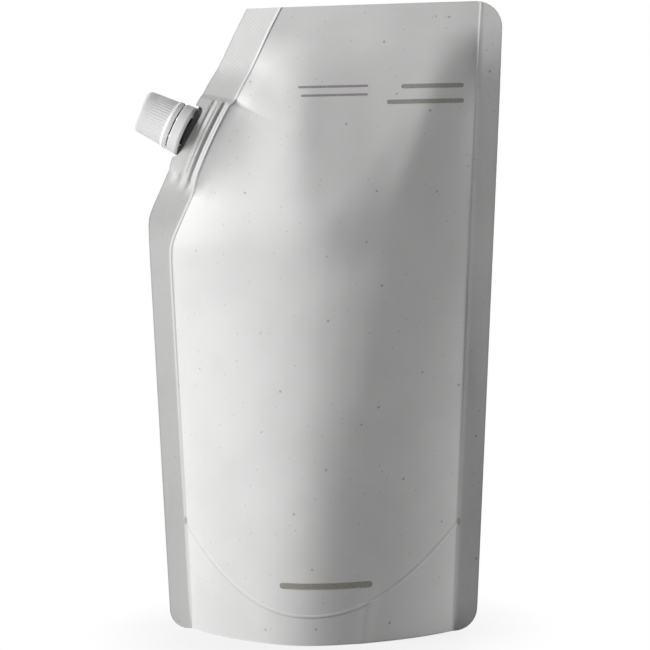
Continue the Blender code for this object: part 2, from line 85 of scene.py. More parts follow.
class FilmSettings(bpy.types.PropertyGroup):
    height: length("Height", "Height of the pouch as it stands", 222.0)
    base_width: length("Base width", "Width over the side seals at the base", 110.4)
    left_spread: length("Left spread", "How far the left edge leans out by the top", 7.3)
    right_spread: length("Right spread", "How far the right edge leans out by the top", 13.0)
    slant: angle("Slant", "Angle of the spout's seal from upright", 26.2)
    spout_x: length("Spout place across", "Where the spout leaves the slanted edge", -45.0)
    spout_z: length("Spout height", "Height at which the spout leaves the edge", 178.9)
    top_corner: length("Top corner", "Radius of the top right corner", 10.0)
    left_foot: length("Left foot corner", "Radius of the left bottom corner", 6.5)
    right_foot: length("Right foot corner", "Radius of the right bottom corner", 7.7)
    shoulder: length("Shoulder rounding", "Softness of the corner below the slant", 1.5)
    seal_thickness: length("Seal thickness", "Thickness over both films at a seal", 0.4)
    side_seal: length("Side seal", "Width of the side seals", 7.8)
    slant_seal: length("Slanted seal", "Width of the slanted seal", 11.5)
    top_seal: length("Top seal", "Height of the top seal", 9.0)
    top_lean: angle("Top lean", "How far the top seal leans back", 14.0)
    top_curl: length("Top curl", "How far the top edge curls back at its spout side", 5.5)
    curl_start: length("Curl start", "Height at which the curl begins", 145.0)
    curl_end: length("Curl end", "Height at which the curl is whole", 220.0)
    right_sweep: number("Right sweep", "Slope at which the right seal leans back", 0.33)
    left_sweep: number("Left sweep", "Slope at which the left seal leans back", 0.08)
    corner_sweep: number("Corner sweep", "Slope of the slanted seal at the top corner", 0.1)
    half_depth: length("Half depth", "Half the depth of the filled bag at its base", 27.9)
    depth_power: number("Depth power", "How late the depth falls towards the top", 1.7)
    depth_taper: number("Depth taper", "How bluntly the depth ends at the top", 0.8)
    facet_start: length("Facet start", "Height at which the flat facet begins", 130.0)
    facet_share: number("Facet share", "Flat share of the width at the top", 0.5)
    facet_shift: length("Facet shift", "How far the facet lies to the right at the top", 5.0)
    ridge_share: number("Ridge share", "Share of an upright ridge in the bag's section", 0.4)
    ridge_place: number("Ridge place", "Place of the ridge across at the base, from 0 to 1", 0.455)
    ridge_lean: number("Ridge lean", "How much further across the ridge is by the top", 0.26)
    ridge_round: number("Ridge rounding", "Softness of the ridge", 0.55)
    gusset_height: length("Gusset height", "Height of the gusset at the side seals", 39.3)
    skirt_height: length("Skirt height", "Height of the gusset's seal at the middle", 10.2)
    skirt_power: number("Skirt power", "Shape of the gusset's seal line", 2.2)
    web_power: number("Web power", "Shape of the gusset's web along its middle", 3.2)
    web_press: length("Web press", "How far the floor flattens the web", 1.5)
    notch_depth: length("Notch depth", "How far the slanted edge is set back by the band", 2.9)
    notch_half: length("Notch half length", "Half the length of that setback", 10.0)
    skirt_tuck: length("Skirt tuck", "How far the bag draws in at its rim", 0.7)
    seal_ridge: length("Seal ridge", "Height of the bead along the seals' inner edges", 0.27)
    film: length("Film", "Thickness of the film at its open edge by the spout", 0.35)
    film_colour: colour("Film colour", "Colour of the pale grey film", (0.7, 0.7, 0.695))
    # Also the colour of the painted shade in the weld's grooves and at three small notches.
    fleck_and_shade_colour: colour("Fleck colour", "Colour of the dark flecks", (0.34, 0.335, 0.32))
    edge_colour: colour("Edge colour", "Colour of the cut edge", (0.5, 0.47, 0.4))


class SpoutSettings(bpy.types.PropertyGroup):
    boat_half_length: length("Weld base half length", "Half length of the weld base", 13.5)
    boat_half: length("Weld base half thickness", "Half thickness at its middle", 5.2)
    boat_tip: length("Weld base tip", "Half thickness at its tips", 0.45)
    boat_depth: length("Weld base depth", "Depth of the weld base in the seal", 10.3)
    boat_top: length("Weld base top", "How far the base's top lies inside the edge", 1.0)
    ribs: IntProperty(name="Weld ribs", description="Ribs round the weld base", default=3)
    rib_height: length("Weld rib height", "Height of the ribs", 0.25)
    seat_wall: length("Seat wall", "Film build-up over the weld base", 0.6)
    seat_margin: length("Seat margin", "Weld past each tip of the base", 1.4)
    seat_fade: length("Seat fade", "Length over which the weld's swelling dies out", 45.0)
    seat_flare: number("Seat flare", "How fast the weld grows longer inwards", 0.26)
    bore: length("Bore", "Radius of the way through", 4.2)
    neck: length("Neck", "Radius of the neck below its thread", 5.0)
    flange: length("Flange", "Radius of the flange", 6.5)
    flange_top: length("Flange top", "Height of the flange's top over the edge", 1.3)
    bead: length("Bead", "How far the bead stands out", 1.2)
    bead_foot: length("Bead foot", "Height of the bead's under side", 2.8)
    bead_top: length("Bead top", "Height of the bead's top", 3.7)
    neck_top: length("Neck top", "Height of the mouth over the edge", 16.95)
    thread_pitch: length("Thread pitch", "Rise of the thread in one turn", 3.0)
    thread_depth: length("Thread depth", "Height of the thread", 0.75)
    thread_start: length("Thread start", "Height at which the thread begins", 7.35)
    thread_turns: number("Thread turns", "Turns of the thread on the neck", 1.75)
    clearance: length("Clearance", "Gap between pieces that touch", 0.3)
    spout_colour: colour("Spout colour", "Colour of the spout", (0.07, 0.07, 0.072))


class CapSettings(bpy.types.PropertyGroup):
    cap_foot: length("Cap foot", "Height of the cap's rim over the edge", 3.95)
    cap_length: length("Cap length", "Length of the cap", 14.5)
    rim_radius: length("Cap rim", "Radius of the smooth rim", 8.75)
    foot_radius: length("Cap foot radius", "Radius of the barrel above the rim", 8.4)
    tip_radius: length("Cap tip radius", "Radius of the barrel at the tip", 7.45)
    tip_rounding: length("Tip rounding", "Radius of the rounded end", 2.6)
    rim_height: length("Rim height", "Height of the smooth rim", 2.2)
    end_wall: length("End wall", "Thickness of the closed end", 1.2)
    bore_radius: length("Cap bore", "Inside radius of the cap", 6.05)
    ribs: IntProperty(name="Cap ribs", description="Ribs round the barrel", default=48)
    rib_depth: length("Rib depth", "Depth of the grooves between ribs", 0.13)
    plug_length: length("Plug length", "Length of the sealing plug", 2.6)
    plug_wall: length("Plug wall", "Wall of the sealing plug", 0.8)
    thread_turns: number("Cap thread turns", "Turns of the thread in the cap", 1.25)
    band_foot: length("Band foot", "Height of the band's rim", -0.7)
    band_length: length("Band length", "Length of the band", 4.15)
    band_rim: length("Band rim", "Radius of the band's rim", 9.15)
    band_top: length("Band top", "Radius of the band's top", 8.85)
    band_wall: length("Band wall", "Wall of the band", 1.3)
    lip_foot: length("Lip foot", "Height of the lip's under side", 1.6)
    lip_top: length("Lip top", "Height of the lip's top", 2.5)
    lip_radius: length("Lip radius", "Inside radius of the lip", 5.3)
    bridges: IntProperty(name="Bridges", description="Break-off bridges", default=8)
    bridge_width: length("Bridge width", "Width of a bridge", 0.9)
    bridge_height: length("Bridge height", "Height of a bridge", 0.2)
    cap_colour: colour("Cap colour", "Colour of the band and cap", (0.92, 0.92, 0.915))


class MarkSettings(bpy.types.PropertyGroup):
    lift: length("Lift", "How far the print stands off the film", 0.06)
    ink_colour: colour("Ink colour", "Colour of the printed bars", (0.26, 0.245, 0.22))


class StudioSettings(bpy.types.PropertyGroup):
    azimuth: angle("Azimuth", "Camera angle round the pouch", 8.5)
    distance: length("Distance", "Level distance of the camera", 820.0)
    camera_height: length("Camera height", "Height of the camera", 175.7)
    aim_x: length("Aim across", "Point that the camera looks at, across", 3.344)
    aim_z: length("Aim height", "Point that the camera looks at, up", 109.47)
    roll: angle("Roll", "Turn of the picture", 1.174)
    focal_pixels: number("Focal length", "Focal length in picture widths", 2318.9 / IMAGE_PIXELS)
    key_power: number("Key power", "Power of the large lamp at the left, in watts", 11.7)
    fill_power: number("Fill power", "Power of the lamp at the right, in watts", 5.8)
    back_power: number("Back power", "Power of the lamp behind, in watts", 5.0)
    ambient: number("Ambient", "Strength of the light from all round", 0.015)
    floor_colour: colour("Floor colour", "Colour of the floor", (0.36, 0.36, 0.36))
    floor_gap: length("Floor gap", "How far the floor lies below the pouch", 0.05)


# Meshes


def mesh_piece(name, points, quads, polygons=()):
    """A mesh from an array of points, an array of four-sided faces and a few larger faces."""
    points = np.asarray(points, dtype=np.float32).reshape(-1, 3)
    loops = np.concatenate([quads.reshape(-1)] + [np.asarray(p) for p in polygons])
    totals = np.concatenate([np.full(len(quads), 4), [len(p) for p in polygons]])
    mesh = bpy.data.meshes.new(name)
    mesh.vertices.add(len(points))
    mesh.vertices.foreach_set("co", points.reshape(-1))
    mesh.loops.add(len(loops))
    mesh.loops.foreach_set("vertex_index", loops.astype(np.int32))
    mesh.polygons.add(len(totals))
    starts = np.concatenate([[0], np.cumsum(totals)[:-1]])
    mesh.polygons.foreach_set("loop_start", starts.astype(np.int32))
    mesh.update(calc_edges=True)
    mesh.validate()
    piece = bpy.data.objects.new(name, mesh)
    bpy.context.scene.collection.objects.link(piece)
    return piece


def grid_quads(rows, columns, first=0, wrap_rows=False, wrap_columns=False):
    """The faces between the neighbours of a grid, which may close on itself either way."""
    index = first + np.arange(rows * columns).reshape(rows, columns)
    if wrap_rows:
        index = np.concatenate([index, index[:1]], 0)
    if wrap_columns:
        index = np.concatenate([index, index[:, :1]], 1)
    corners = [index[:-1, :-1], index[1:, :-1], index[1:, 1:], index[:-1, 1:]]
    return np.stack(corners, -1).reshape(-1, 4)


def tidy_mesh(piece, join=2e-7, sharp=None):
    """Joins points in one place, turns the faces outwards and smooths all but sharp edges."""
    shape = bmesh.new()
    shape.from_mesh(piece.data)
    bmesh.ops.remove_doubles(shape, verts=shape.verts, dist=join)
    bmesh.ops.recalc_face_normals(shape, faces=shape.faces)
    shape.to_mesh(piece.data)
    shape.free()
    piece.data.shade_smooth()
    if sharp is not None:
        piece.data.set_sharp_from_angle(angle=math.radians(sharp))


def add_attribute(piece, name, values):
    layer = piece.data.attributes.new(name, "FLOAT", "POINT")
    layer.data.foreach_set("value", np.asarray(values, dtype=np.float32).reshape(-1))


def ease(value, start, end):
    """A smooth step: 0 at start, 1 at end, level at both."""
    share = np.clip((value - start) / (end - start), 0.0, 1.0)
    return share * share * (3.0 - 2.0 * share)


def bump(value, centre, width):
    """A rounded bump: e to the minus square of the distance over the width."""
    return np.exp(-(((value - centre) / width) ** 2))


# Shape of the film


def smooth_max(a, b, rounding):
    """The larger of two heights, with the corner between them rounded."""
    return 0.5 * (a + b + np.sqrt((a - b) ** 2 + rounding**2))


def corner_inset(distance, radius):
    """How far a round corner draws an edge in, at a distance from the edge's end."""
    short = np.clip(radius - distance, 0.0, radius)
    return radius - np.sqrt(np.maximum(radius**2 - short**2, 0.0))


def left_edge(film, z):
    return -film.base_width / 2 - film.left_spread * z / film.height


def right_edge(film, z):
    return film.base_width / 2 + film.right_spread * z / film.height


def slanted_edge(film, z, inset):
    run = (z - film.spout_z) * math.tan(film.slant)
    return film.spout_x + run + inset / math.cos(film.slant)


def band_notch(film, z):
    """How far the slanted edge is set back for the band: level, steep at its ends, and
    deeper towards the top."""
    along = (z - film.spout_z) / math.cos(film.slant) / film.notch_half
    share = np.clip(np.abs(along), 0.0, 1.0)
    depth = film.notch_depth * (1.0 + 0.25 * along)
    return depth * (1.0 - share**6) ** 0.6 / math.cos(film.slant)


def outer_left(film, z):
    edge = smooth_max(left_edge(film, z), slanted_edge(film, z, 0.0), film.shoulder)
    return edge + corner_inset(z, film.left_foot) + band_notch(film, z)


def outer_right(film, z):
    top = corner_inset(film.height - z, film.top_corner)
    return right_edge(film, z) - top - corner_inset(z, film.right_foot)


def inner_left(film, z):
    side = left_edge(film, z) + film.side_seal
    seal = smooth_max(side, slanted_edge(film, z, film.slant_seal), film.shoulder)
    return np.maximum(seal, outer_left(film, z) + film.seal_thickness)


def inner_right(film, z):
    side = right_edge(film, z) - film.side_seal
    return np.minimum(side, outer_right(film, z) - film.seal_thickness)


def top_seal_foot(film):
    return film.height - film.top_seal


def half_depth(film, z):
    """Half depth of the bag: the base's, times (1 - share of the height ^ power) ^ taper."""
    share = np.clip(z / top_seal_foot(film), 0.0, 1.0)
    depth = film.half_depth * (1.0 - share**film.depth_power) ** film.depth_taper
    return depth - film.skirt_tuck * (1.0 - ease(z, 0.0, film.gusset_height * 0.7))


def bulge(film, x, z):
    """Height of the filled film: a flat facet in the middle and a circular arc each side.

    An arc's height at a share p of its chord is sqrt(1 - (p sin a)^2) - cos a over
    1 - cos a, times the depth, where a is the arc's angle, twice atan(depth / chord).
    """
    left = inner_left(film, z)
    right = inner_right(film, z)
    top = top_seal_foot(film)
    rise = ease(z, film.facet_start, top)
    flat = film.facet_share * rise
    centre = (left + right) / 2 + film.facet_shift * rise
    half = np.where(x < centre, centre - left, right - centre)
    across = np.abs(x - centre) / half
    depth = half_depth(film, z)
    arc = 2.0 * np.arctan2(depth, (1.0 - flat) * half)
    part = np.clip((across - flat) / (1.0 - flat), 0.0, 1.0)
    drop = 1.0 - np.cos(arc)
    raised = np.sqrt(np.maximum(1.0 - (part * np.sin(arc)) ** 2, 0.0)) - np.cos(arc)
    body = np.where(drop > 0.0, depth * raised / np.maximum(drop, 1e-12), 0.0)
    share = film.ridge_share * (1.0 - ease(z, film.facet_start - 20.0 * MM, 195.0 * MM))
    return (1.0 - share) * body + share * depth * tent(film, x, z)


def tent(film, x, z):
    """1 on the film's upright ridge and 0 at both side seals, with straight flanks between
    them and a rounded top: the larger of the two flanks' falls, with the corner rounded."""
    left, right = inner_left(film, z), inner_right(film, z)
    top = left + (right - left) * (film.ridge_place + film.ridge_lean * z / film.height)
    fall = smooth_max((x - top) / (right - top), (top - x) / (top - left), film.ridge_round)
    least = film.ridge_round / 2
    return np.clip(1.0 - (fall - least) / (1.02 - least), 0.0, 1.0)


def boat_half(spout, s, extra_length, extra_half):
    """Half thickness of the weld base at s along the seal: a parabola on its two tips."""
    half_length = spout.boat_half_length + extra_length
    crown = spout.boat_half - spout.boat_tip
    share = np.clip(1.0 - (s / half_length) ** 2, 0.0, 1.0)
    return np.where(np.abs(s) <= half_length, spout.boat_tip + extra_half + crown * share, 0.0)


def seal_place(film, x, z):
    """(along, inwards): place along the slanted edge from the spout, and in from the edge."""
    dx = x - film.spout_x
    dz = z - film.spout_z
    along = dx * math.sin(film.slant) + dz * math.cos(film.slant)
    inwards = dx * math.cos(film.slant) - dz * math.sin(film.slant)
    return along, inwards


def weld_place(film, spout, x, z):
    """(share, inwards): place along the weld, 1 at its ends, which spread apart inwards."""
    along, inwards = seal_place(film, x, z)
    half_length = spout.boat_half_length + spout.clearance + spout.seat_margin
    more = spout.seat_flare * np.clip(inwards, 0.0, film.slant_seal)
    return along / (half_length + more), inwards


INNER_GROOVE = (8.9 * MM, 0.5 * MM)
OUTER_GROOVE = (5.3 * MM, 0.45 * MM)


def groove_reach(share):
    """(on_base, upper): 1 over the weld base, and 1 over its upper half, by the place along
    the weld. Both ease to 0."""
    return 1.0 - ease(np.abs(share), 0.82, 0.93), ease(share, -0.3, 0.2)


def seat(film, spout, x, z):
    """Height of the film over the weld base, fading out by a half cosine inside the bag."""
    share, inwards = weld_place(film, spout, x, z)
    past = (inwards - film.slant_seal) / spout.seat_fade
    fade = 0.5 + 0.5 * np.cos(math.pi * np.clip(past, 0.0, 1.0))
    length_more = spout.clearance + spout.seat_margin
    wall = spout.clearance + spout.seat_wall
    height = boat_half(spout, share * (spout.boat_half_length + length_more), length_more, wall)
    return fade * height * (1.0 - ease(np.abs(share), 0.86, 1.0))


def skirt_line(film, u):
    """Height of the gusset's seal on the films, at u from -1 to 1 between the side seals."""
    return film.skirt_height + (film.gusset_height - film.skirt_height) * np.abs(u) ** film.skirt_power


def web_ridge(film, u):
    """Height of the gusset's web along its middle."""
    rise = film.gusset_height + film.web_press
    return -film.web_press + rise * np.abs(u) ** film.web_power


def crease(x, z, start, end, width, height):
    """A soft fold along a line: a bump across it, which eases out at both ends."""
    start = np.array(start) * MM
    run = np.array(end) * MM - start
    size = np.hypot(*run)
    along = ((x - start[0]) * run[0] + (z - start[1]) * run[1]) / size
    across = ((x - start[0]) * run[1] - (z - start[1]) * run[0]) / size
    ends = ease(along, -0.1 * size, 0.25 * size) * (1.0 - ease(along, 0.75 * size, 1.1 * size))
    return height * MM * bump(across, 0.0, width * MM) * ends


FRONT_CREASES = (
    ((49.0, 205.0), (30.0, 150.0), 5.0, 0.5),
    ((31.0, 150.0), (17.0, 70.0), 7.0, 0.4),
    ((-4.0, 204.0), (5.0, 132.0), 17.0, 2.6),
    ((6.0, 196.0), (7.0, 150.0), 7.0, -0.35),
    ((17.0, -4.0), (21.0, 22.0), 2.2, 0.45),
)
BACK_CREASES = (
    ((40.0, 200.0), (24.0, 120.0), 7.0, 0.4),
    ((-20.0, 170.0), (-6.0, 140.0), 5.0, -0.35),
    ((-8.0, -4.0), (-12.0, 24.0), 2.5, 0.4),
)


def film_height(film, spout, x, z, creases):
    """Height of the outer film over the seal plane, with seals, weld ribs and folds."""
    body = bulge(film, x, z)
    weld = seat(film, spout, x, z)
    inside = (np.abs(body) ** 2.5 + np.abs(weld) ** 2.5) ** 0.4
    share, inwards = weld_place(film, spout, x, z)
    on_base, upper = groove_reach(share)
    grooves = (
        -0.42 * bump(inwards, *INNER_GROOVE)
        - 0.3 * bump(inwards, *OUTER_GROOVE) * (0.15 + 0.85 * upper)
        + 0.12 * bump(inwards, 6.6 * MM, 0.3 * MM)
        + 0.12 * bump(inwards, 7.7 * MM, 0.3 * MM)
    )
    inside = inside + grooves * MM * on_base
    bead = inner_left(film, z) - 0.9 * MM * on_base
    ridge = bump(x, bead, 0.38 * MM) + 0.7 * bump(x, inner_right(film, z), 0.4 * MM)
    inside = inside + film.seal_ridge * ridge * ease(z, 0.0, 8.0 * MM)
    folds = sum(crease(x, z, *line) for line in creases)
    inside = inside + folds * ease(body, 0.3 * MM, 3.0 * MM)
    return inside + film.seal_thickness / 2


def sweep(film, spout, x, z):
    """How far the film leans back: the top seal by its angle, the side seals by a slope, and
    the upper film by a curl that grows to the power 1.5 towards the spout's side and keeps
    clear of the weld."""
    top = math.tan(film.top_lean) * np.maximum(z - top_seal_foot(film), 0.0)
    right = np.maximum(x - inner_right(film, z), 0.0)
    low_right = ease(z, -12.0 * MM, 14.0 * MM) * (1.0 - ease(z, 185.0 * MM, 212.0 * MM))
    left = np.maximum(inner_left(film, z) - x, 0.0)
    up_left = ease(z, 25.0 * MM, 130.0 * MM) * (1.0 - ease(z, 140.0 * MM, 152.0 * MM))
    by_corner = ease(z, 196.0 * MM, 204.0 * MM)
    width = inner_right(film, z) - outer_left(film, z)
    share = np.clip((inner_right(film, z) - x) / width, 0.0, 1.0)
    weld, inwards = weld_place(film, spout, x, z)
    by_weld = (1.0 - ease(np.abs(weld), 1.0, 1.7)) * (1.0 - ease(inwards, 12.0 * MM, 34.0 * MM))
    curl = film.top_curl * share**1.5 * ease(z, film.curl_start, film.curl_end)
    by_left = film.left_sweep * up_left + film.corner_sweep * by_corner
    return top + curl * (1.0 - by_weld) + film.right_sweep * right * low_right + left * by_left


# Film piece

SEAL_COLUMNS = 36
SPAN_COLUMNS = 88
CLOSE_COLUMNS = 10
CLOSE_SHARE = 0.016
RIGHT_COLUMNS = 12
SKIRT_ROWS = 10
WEB_ROWS = 16
HOLLOW_END = 0.985


def level_heights(film, spout):
    """Heights of the grid's levels, closest over the weld base and at the corners."""
    half = (spout.boat_half_length + spout.seat_margin + 1.5 * MM) * math.cos(film.slant)
    low, high = film.spout_z - half, film.spout_z + half
    turn = 1.0 - np.cos(np.linspace(0.0, math.pi / 2, 9))
    foot = film.right_foot * turn
    crown = film.height - film.top_corner * turn[::-1]
    skirt = np.linspace(foot[-1], film.gusset_height, 26)
    side = np.linspace(film.gusset_height, low, 56)
    weld = np.linspace(low, high, 84)
    shoulder = np.linspace(high, crown[0], 12)
    parts = [foot, skirt[1:], side[1:], weld[1:], shoulder[1:], crown[1:]]
    return np.concatenate(parts)


def column_places(film, z):
    """Places across at heights z: one row a height, one column a place, and u of each."""
    seal = np.linspace(0.0, 1.0, SEAL_COLUMNS + 1)[:-1]
    close = np.linspace(0.0, CLOSE_SHARE, CLOSE_COLUMNS + 1)[:-1]
    turn = 0.5 - 0.5 * np.cos(np.linspace(0.0, math.pi, SPAN_COLUMNS + 1))
    even = np.linspace(0.0, 1.0, SPAN_COLUMNS + 1)
    span = CLOSE_SHARE + (1.0 - 2.0 * CLOSE_SHARE) * (0.5 * turn + 0.5 * even)
    span = np.concatenate([close, span, 1.0 - close[::-1]])
    far = np.linspace(0.0, 1.0, RIGHT_COLUMNS + 1)[1:]
    z = np.asarray(z)[:, None]
    ol, il, ir, orr = (f(film, z) for f in (outer_left, inner_left, inner_right, outer_right))
    x = np.concatenate([ol + (il - ol) * seal, il + (ir - il) * span, ir + (orr - ir) * far], 1)
    u = np.concatenate([np.full(len(seal), -1.0), 2.0 * span - 1.0, np.full(len(far), 1.0)])
    return x, u


def film_point(film, spout, x, z, side, inset=0.0):
    """Points of the front (side -1) or back (side 1) film, moved in by an inset."""
    lines = FRONT_CREASES if side < 0 else BACK_CREASES
    y = side * np.maximum(film_height(film, spout, x, z, lines) - inset, 0.0)
    return np.stack([x, y + sweep(film, spout, x, z), z], -1)


def film_loops(film, spout):
    """One closed loop for each column: down the front film, up inside the skirt, over the
    gusset's web, down the back skirt, up the back film and across the top edge."""
    z = level_heights(film, spout)
    x, u = column_places(film, z)
    level = np.broadcast_to(z[:, None], x.shape)
    front = film_point(film, spout, x, level, -1)[::-1]
    back = film_point(film, spout, x, level, 1)
    hollow = np.abs(u) < HOLLOW_END
    top = np.where(hollow, skirt_line(film, u), 0.0)
    rise = np.linspace(0.0, 1.0, SKIRT_ROWS)[:, None] * top
    columns = np.arange(len(u))
    grid_x = np.stack([column_places(film, row)[0][columns, columns] for row in rise])
    inner = [film_point(film, spout, grid_x, rise, s, film.seal_thickness) for s in (-1, 1)]
    share = np.linspace(-1.0, 1.0, WEB_ROWS + 2)[1:-1, None]
    ridge = np.where(hollow, web_ridge(film, u), 0.0)
    reach = inner[1][-1]
    web_y = inner[0][-1, :, 1] + (inner[1][-1, :, 1] - inner[0][-1, :, 1]) * (share + 1.0) / 2
    web_z = np.maximum(ridge + (top - ridge) * share**2, 0.0)
    web = np.stack([np.broadcast_to(reach[:, 0], web_y.shape), web_y, web_z], -1)
    under = np.concatenate([inner[0], web, inner[1][::-1]], 0)
    count = len(under)
    flat = np.linspace(0.0, 1.0, count + 2)[1:-1, None, None]
    level_under = front[-1] + (back[0] - front[-1]) * flat
    under = np.where(hollow[None, :, None], under, level_under)
    crown = back[-1] + (front[0] - back[-1]) * flat
    return front, under, back, crown


def end_grid(front, back, count):
    """Closes a side edge: rows from the front film to the back film, straight across."""
    share = np.linspace(0.0, 1.0, count + 2)[:, None]
    return front[:, None] + (back[:, None] - front[:, None]) * share


def open_pocket(film, spout, rows):
    """Draws the edge's closing rows in over the weld base, so that the films stand open."""
    edge = (rows[:, 0] + rows[:, -1]) / 2
    along, start = seal_place(film, edge[:, 0], edge[:, 2])
    inside = np.abs(along) < spout.boat_half_length + spout.clearance
    foot = spout.boat_top + spout.boat_depth + spout.clearance
    depth = (foot - start)[:, None]
    count = rows.shape[1] - 2
    third = count // 3
    run = np.concatenate([
        np.linspace(0.0, 1.0, third),
        np.ones(count - 2 * third),
        np.linspace(1.0, 0.0, third),
    ])
    side = np.concatenate([
        -np.ones(third), np.linspace(-1.0, 1.0, count - 2 * third + 2)[1:-1], np.ones(third)
    ])
    x = edge[:, None, 0] + run * depth * math.cos(film.slant)
    z = edge[:, None, 2] - run * depth * math.sin(film.slant)
    wall = film_height(film, spout, x, z, ()) - film.film
    swell = boat_half(spout, np.broadcast_to(along[:, None], x.shape), spout.clearance, 0.0)
    half = np.maximum(np.minimum(wall, swell + 0.75 * MM), 0.05 * MM)
    pocket = np.stack([x, side * half, z], -1)
    rows[:, 1:-1] = np.where(inside[:, None, None], pocket, rows[:, 1:-1])
    return rows


def make_film(film, spout):
    front, under, back, crown = film_loops(film, spout)
    loops = np.concatenate([front, under, back, crown], 0)
    count = len(under)
    rows, columns = loops.shape[:2]
    left = open_pocket(film, spout, end_grid(front[:, 0], back[::-1, 0], count))
    right = end_grid(front[:, -1], back[::-1, -1], count)
    quads = [grid_quads(rows, columns, 0, wrap_rows=True)]
    points = [loops.reshape(-1, 3)]
    first = rows * columns
    for end in (left, right):
        quads.append(grid_quads(*end.shape[:2], first))
        points.append(end.reshape(-1, 3))
        first += end.shape[0] * end.shape[1]
    piece = mesh_piece("film_bag", np.concatenate(points), np.concatenate(quads))
    tidy_mesh(piece, join=1e-6, sharp=62.0)
    mark_film(film, spout, piece)
    return piece


def mark_film(film, spout, piece):
    """Writes what the film's material needs at each point, from 0 to 1."""
    co = np.zeros(len(piece.data.vertices) * 3, np.float32)
    piece.data.vertices.foreach_get("co", co)
    x, y, z = co.reshape(-1, 3).astype(float).T
    from_left = x - outer_left(film, z)
    from_right = outer_right(film, z) - x
    in_left = ease(x - inner_left(film, z), 0.3 * MM, -0.3 * MM)
    in_right = ease(x - inner_right(film, z), -0.3 * MM, 0.3 * MM)
    slanted = ease(z, 156.0 * MM, 162.0 * MM) * in_left
    share, inwards = weld_place(film, spout, x, z)
    on_base, upper = groove_reach(share)
    lower = 1.0 - ease(share, -0.15, 0.2)
    edge = np.minimum(from_left, from_right)
    dark = bump(inwards, *INNER_GROOVE) + 0.85 * bump(inwards, *OUTER_GROOVE) * upper
    marks = {
        "seal": np.clip(in_left + in_right, 0.0, 1.0),
        "knurl": slanted * (1.0 - on_base * (0.7 - 0.6 * lower)),
        "cut_edge": 1.0 - ease(edge, 0.15 * MM, 0.55 * MM),
        # Painted shade: this mask darkens the film along the weld's grooves.
        "groove": dark * on_base * in_left,
        # Painted light: this mask makes the slanted seal lighter, as where the light falls on it.
        "pressed": slanted,
    }
    for name, values in marks.items():
        add_attribute(piece, name, values)


# Turned pieces


def spout_frame(film):
    """The spout's own axes: X up along the slanted edge, Y as the world's, Z outwards."""
    s, c = math.sin(film.slant), math.cos(film.slant)
    axes = np.array([[s, 0.0, c], [0.0, 1.0, 0.0], [-c, 0.0, s]])
    return np.array([film.spout_x, 0.0, film.spout_z]), axes


def to_world(film, local):
    origin, axes = spout_frame(film)
    return origin + local @ axes


PROFILE_STEP = 0.35 * MM
NECK_STEP = 0.3 * MM


def densify(profile, step):
    """Adds points along a profile of (radius, height) so that none is a step apart."""
    points = [np.array(profile[:1], float)]
    for a, b in zip(profile[:-1], profile[1:]):
        count = max(1, math.ceil(math.hypot(b[0] - a[0], b[1] - a[1]) / step))
        share = np.linspace(0.0, 1.0, count + 1)[1:, None]
        points.append(np.array(a) + (np.array(b) - np.array(a)) * share)
    return np.concatenate(points)


def turned_piece(name, film, radius, height, angles, closed, sharp):
    """A surface of revolution whose radius and height may change round it: one row an
    angle, one column a point of the profile."""
    turn = angles[:, None]
    local = np.stack([radius * np.cos(turn), radius * np.sin(turn), height], -1)
    quads = grid_quads(*radius.shape, 0, wrap_rows=True, wrap_columns=closed)
    piece = mesh_piece(name, to_world(film, local.reshape(-1, 3)), quads)
    tidy_mesh(piece, sharp=sharp)
    return piece


def thread_height(turn, height, start, pitch, turns):
    """Height of a thread ridge, from 0 to 1, by angle and height: a trapezium about the
    helix that climbs by the pitch in a turn, which runs in and out over an eighth of a turn."""
    best = np.zeros(np.broadcast(turn, height).shape)
    for lap in range(math.ceil(turns) + 1):
        travelled = turn / (2.0 * math.pi) + lap
        off = np.abs(height - start - pitch * travelled)
        flank = np.clip((0.85 * MM - off) / (0.45 * MM), 0.0, 1.0)
        ends = np.clip(np.minimum(travelled, turns - travelled) / 0.125, 0.0, 1.0)
        best = np.maximum(best, flank * ends)
    return best


def make_neck(film, spout):
    steps = 144
    turn = np.linspace(0.0, 2.0 * math.pi, steps, endpoint=False)
    edge = 0.25 * MM
    profile = [
        (spout.bore, -spout.boat_top - spout.boat_depth),
        (spout.bore, spout.neck_top - edge),
        (spout.bore + edge, spout.neck_top),
        (spout.neck - edge, spout.neck_top),
        (spout.neck, spout.neck_top - edge),
        (spout.neck, spout.bead_top + spout.bead / 2),
        (spout.neck + spout.bead, spout.bead_top - 0.45 * MM),
        (spout.neck + spout.bead, spout.bead_foot),
        (spout.neck, spout.bead_foot),
        (spout.neck, spout.flange_top),
        (spout.flange, spout.flange_top),
        (spout.flange, spout.clearance),
        (spout.neck, spout.clearance),
        (spout.neck, -spout.boat_top - spout.boat_depth + 0.6 * MM),
    ]
    line = densify(profile, NECK_STEP)
    radius = np.broadcast_to(line[:, 0], (steps, len(line))).copy()
    height = np.broadcast_to(line[:, 1], (steps, len(line)))
    ridge = thread_height(
        turn[:, None], height, spout.thread_start, spout.thread_pitch, spout.thread_turns
    )
    outside = radius > spout.neck - 0.01 * MM
    radius = radius + np.where(outside, spout.thread_depth * ridge, 0.0)
    return turned_piece("spout_neck", film, radius, height, turn, True, 35.0)


